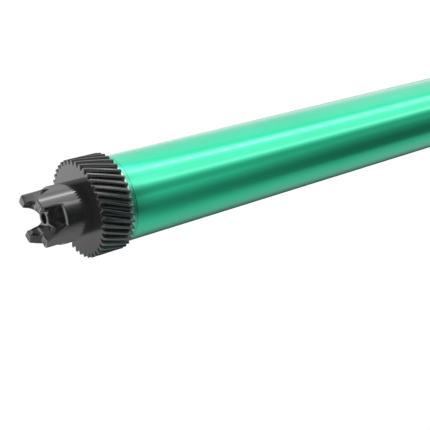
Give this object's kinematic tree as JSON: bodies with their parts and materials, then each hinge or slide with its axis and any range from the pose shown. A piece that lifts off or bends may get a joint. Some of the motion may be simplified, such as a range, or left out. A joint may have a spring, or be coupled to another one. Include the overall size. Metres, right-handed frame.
{
  "type": "printer drum unit",
  "caption": "Laser printer photoconductor drum: green coated tube with a helical drive gear and claw coupling at one end and a bored, rimmed end flange at the other.",
  "frame": {"origin": "centre of the end flange's rim face, on the surface that the drum stands on", "axes": "+Z along the drum's axis, from the end flange to the tips of the coupling claws; -Y through the middle of one slot between two claws"},
  "size_m": [0.0268, 0.0268, 0.2796],
  "materials": {
    "drum_coat": "aluminium tube with a glossy green photoconductor coat, bare at both ends",
    "gear_plastic": "glossy black moulded plastic",
    "flange_plastic": "satin black moulded plastic",
    "contact_metal": "stamped phosphor bronze"
  },
  "bodies": {
    "root": {"drum_tube": "drum_coat", "drive_gear": "gear_plastic", "end_flange": "flange_plastic", "ground_contact": "contact_metal"}
  },
  "joints": []
}
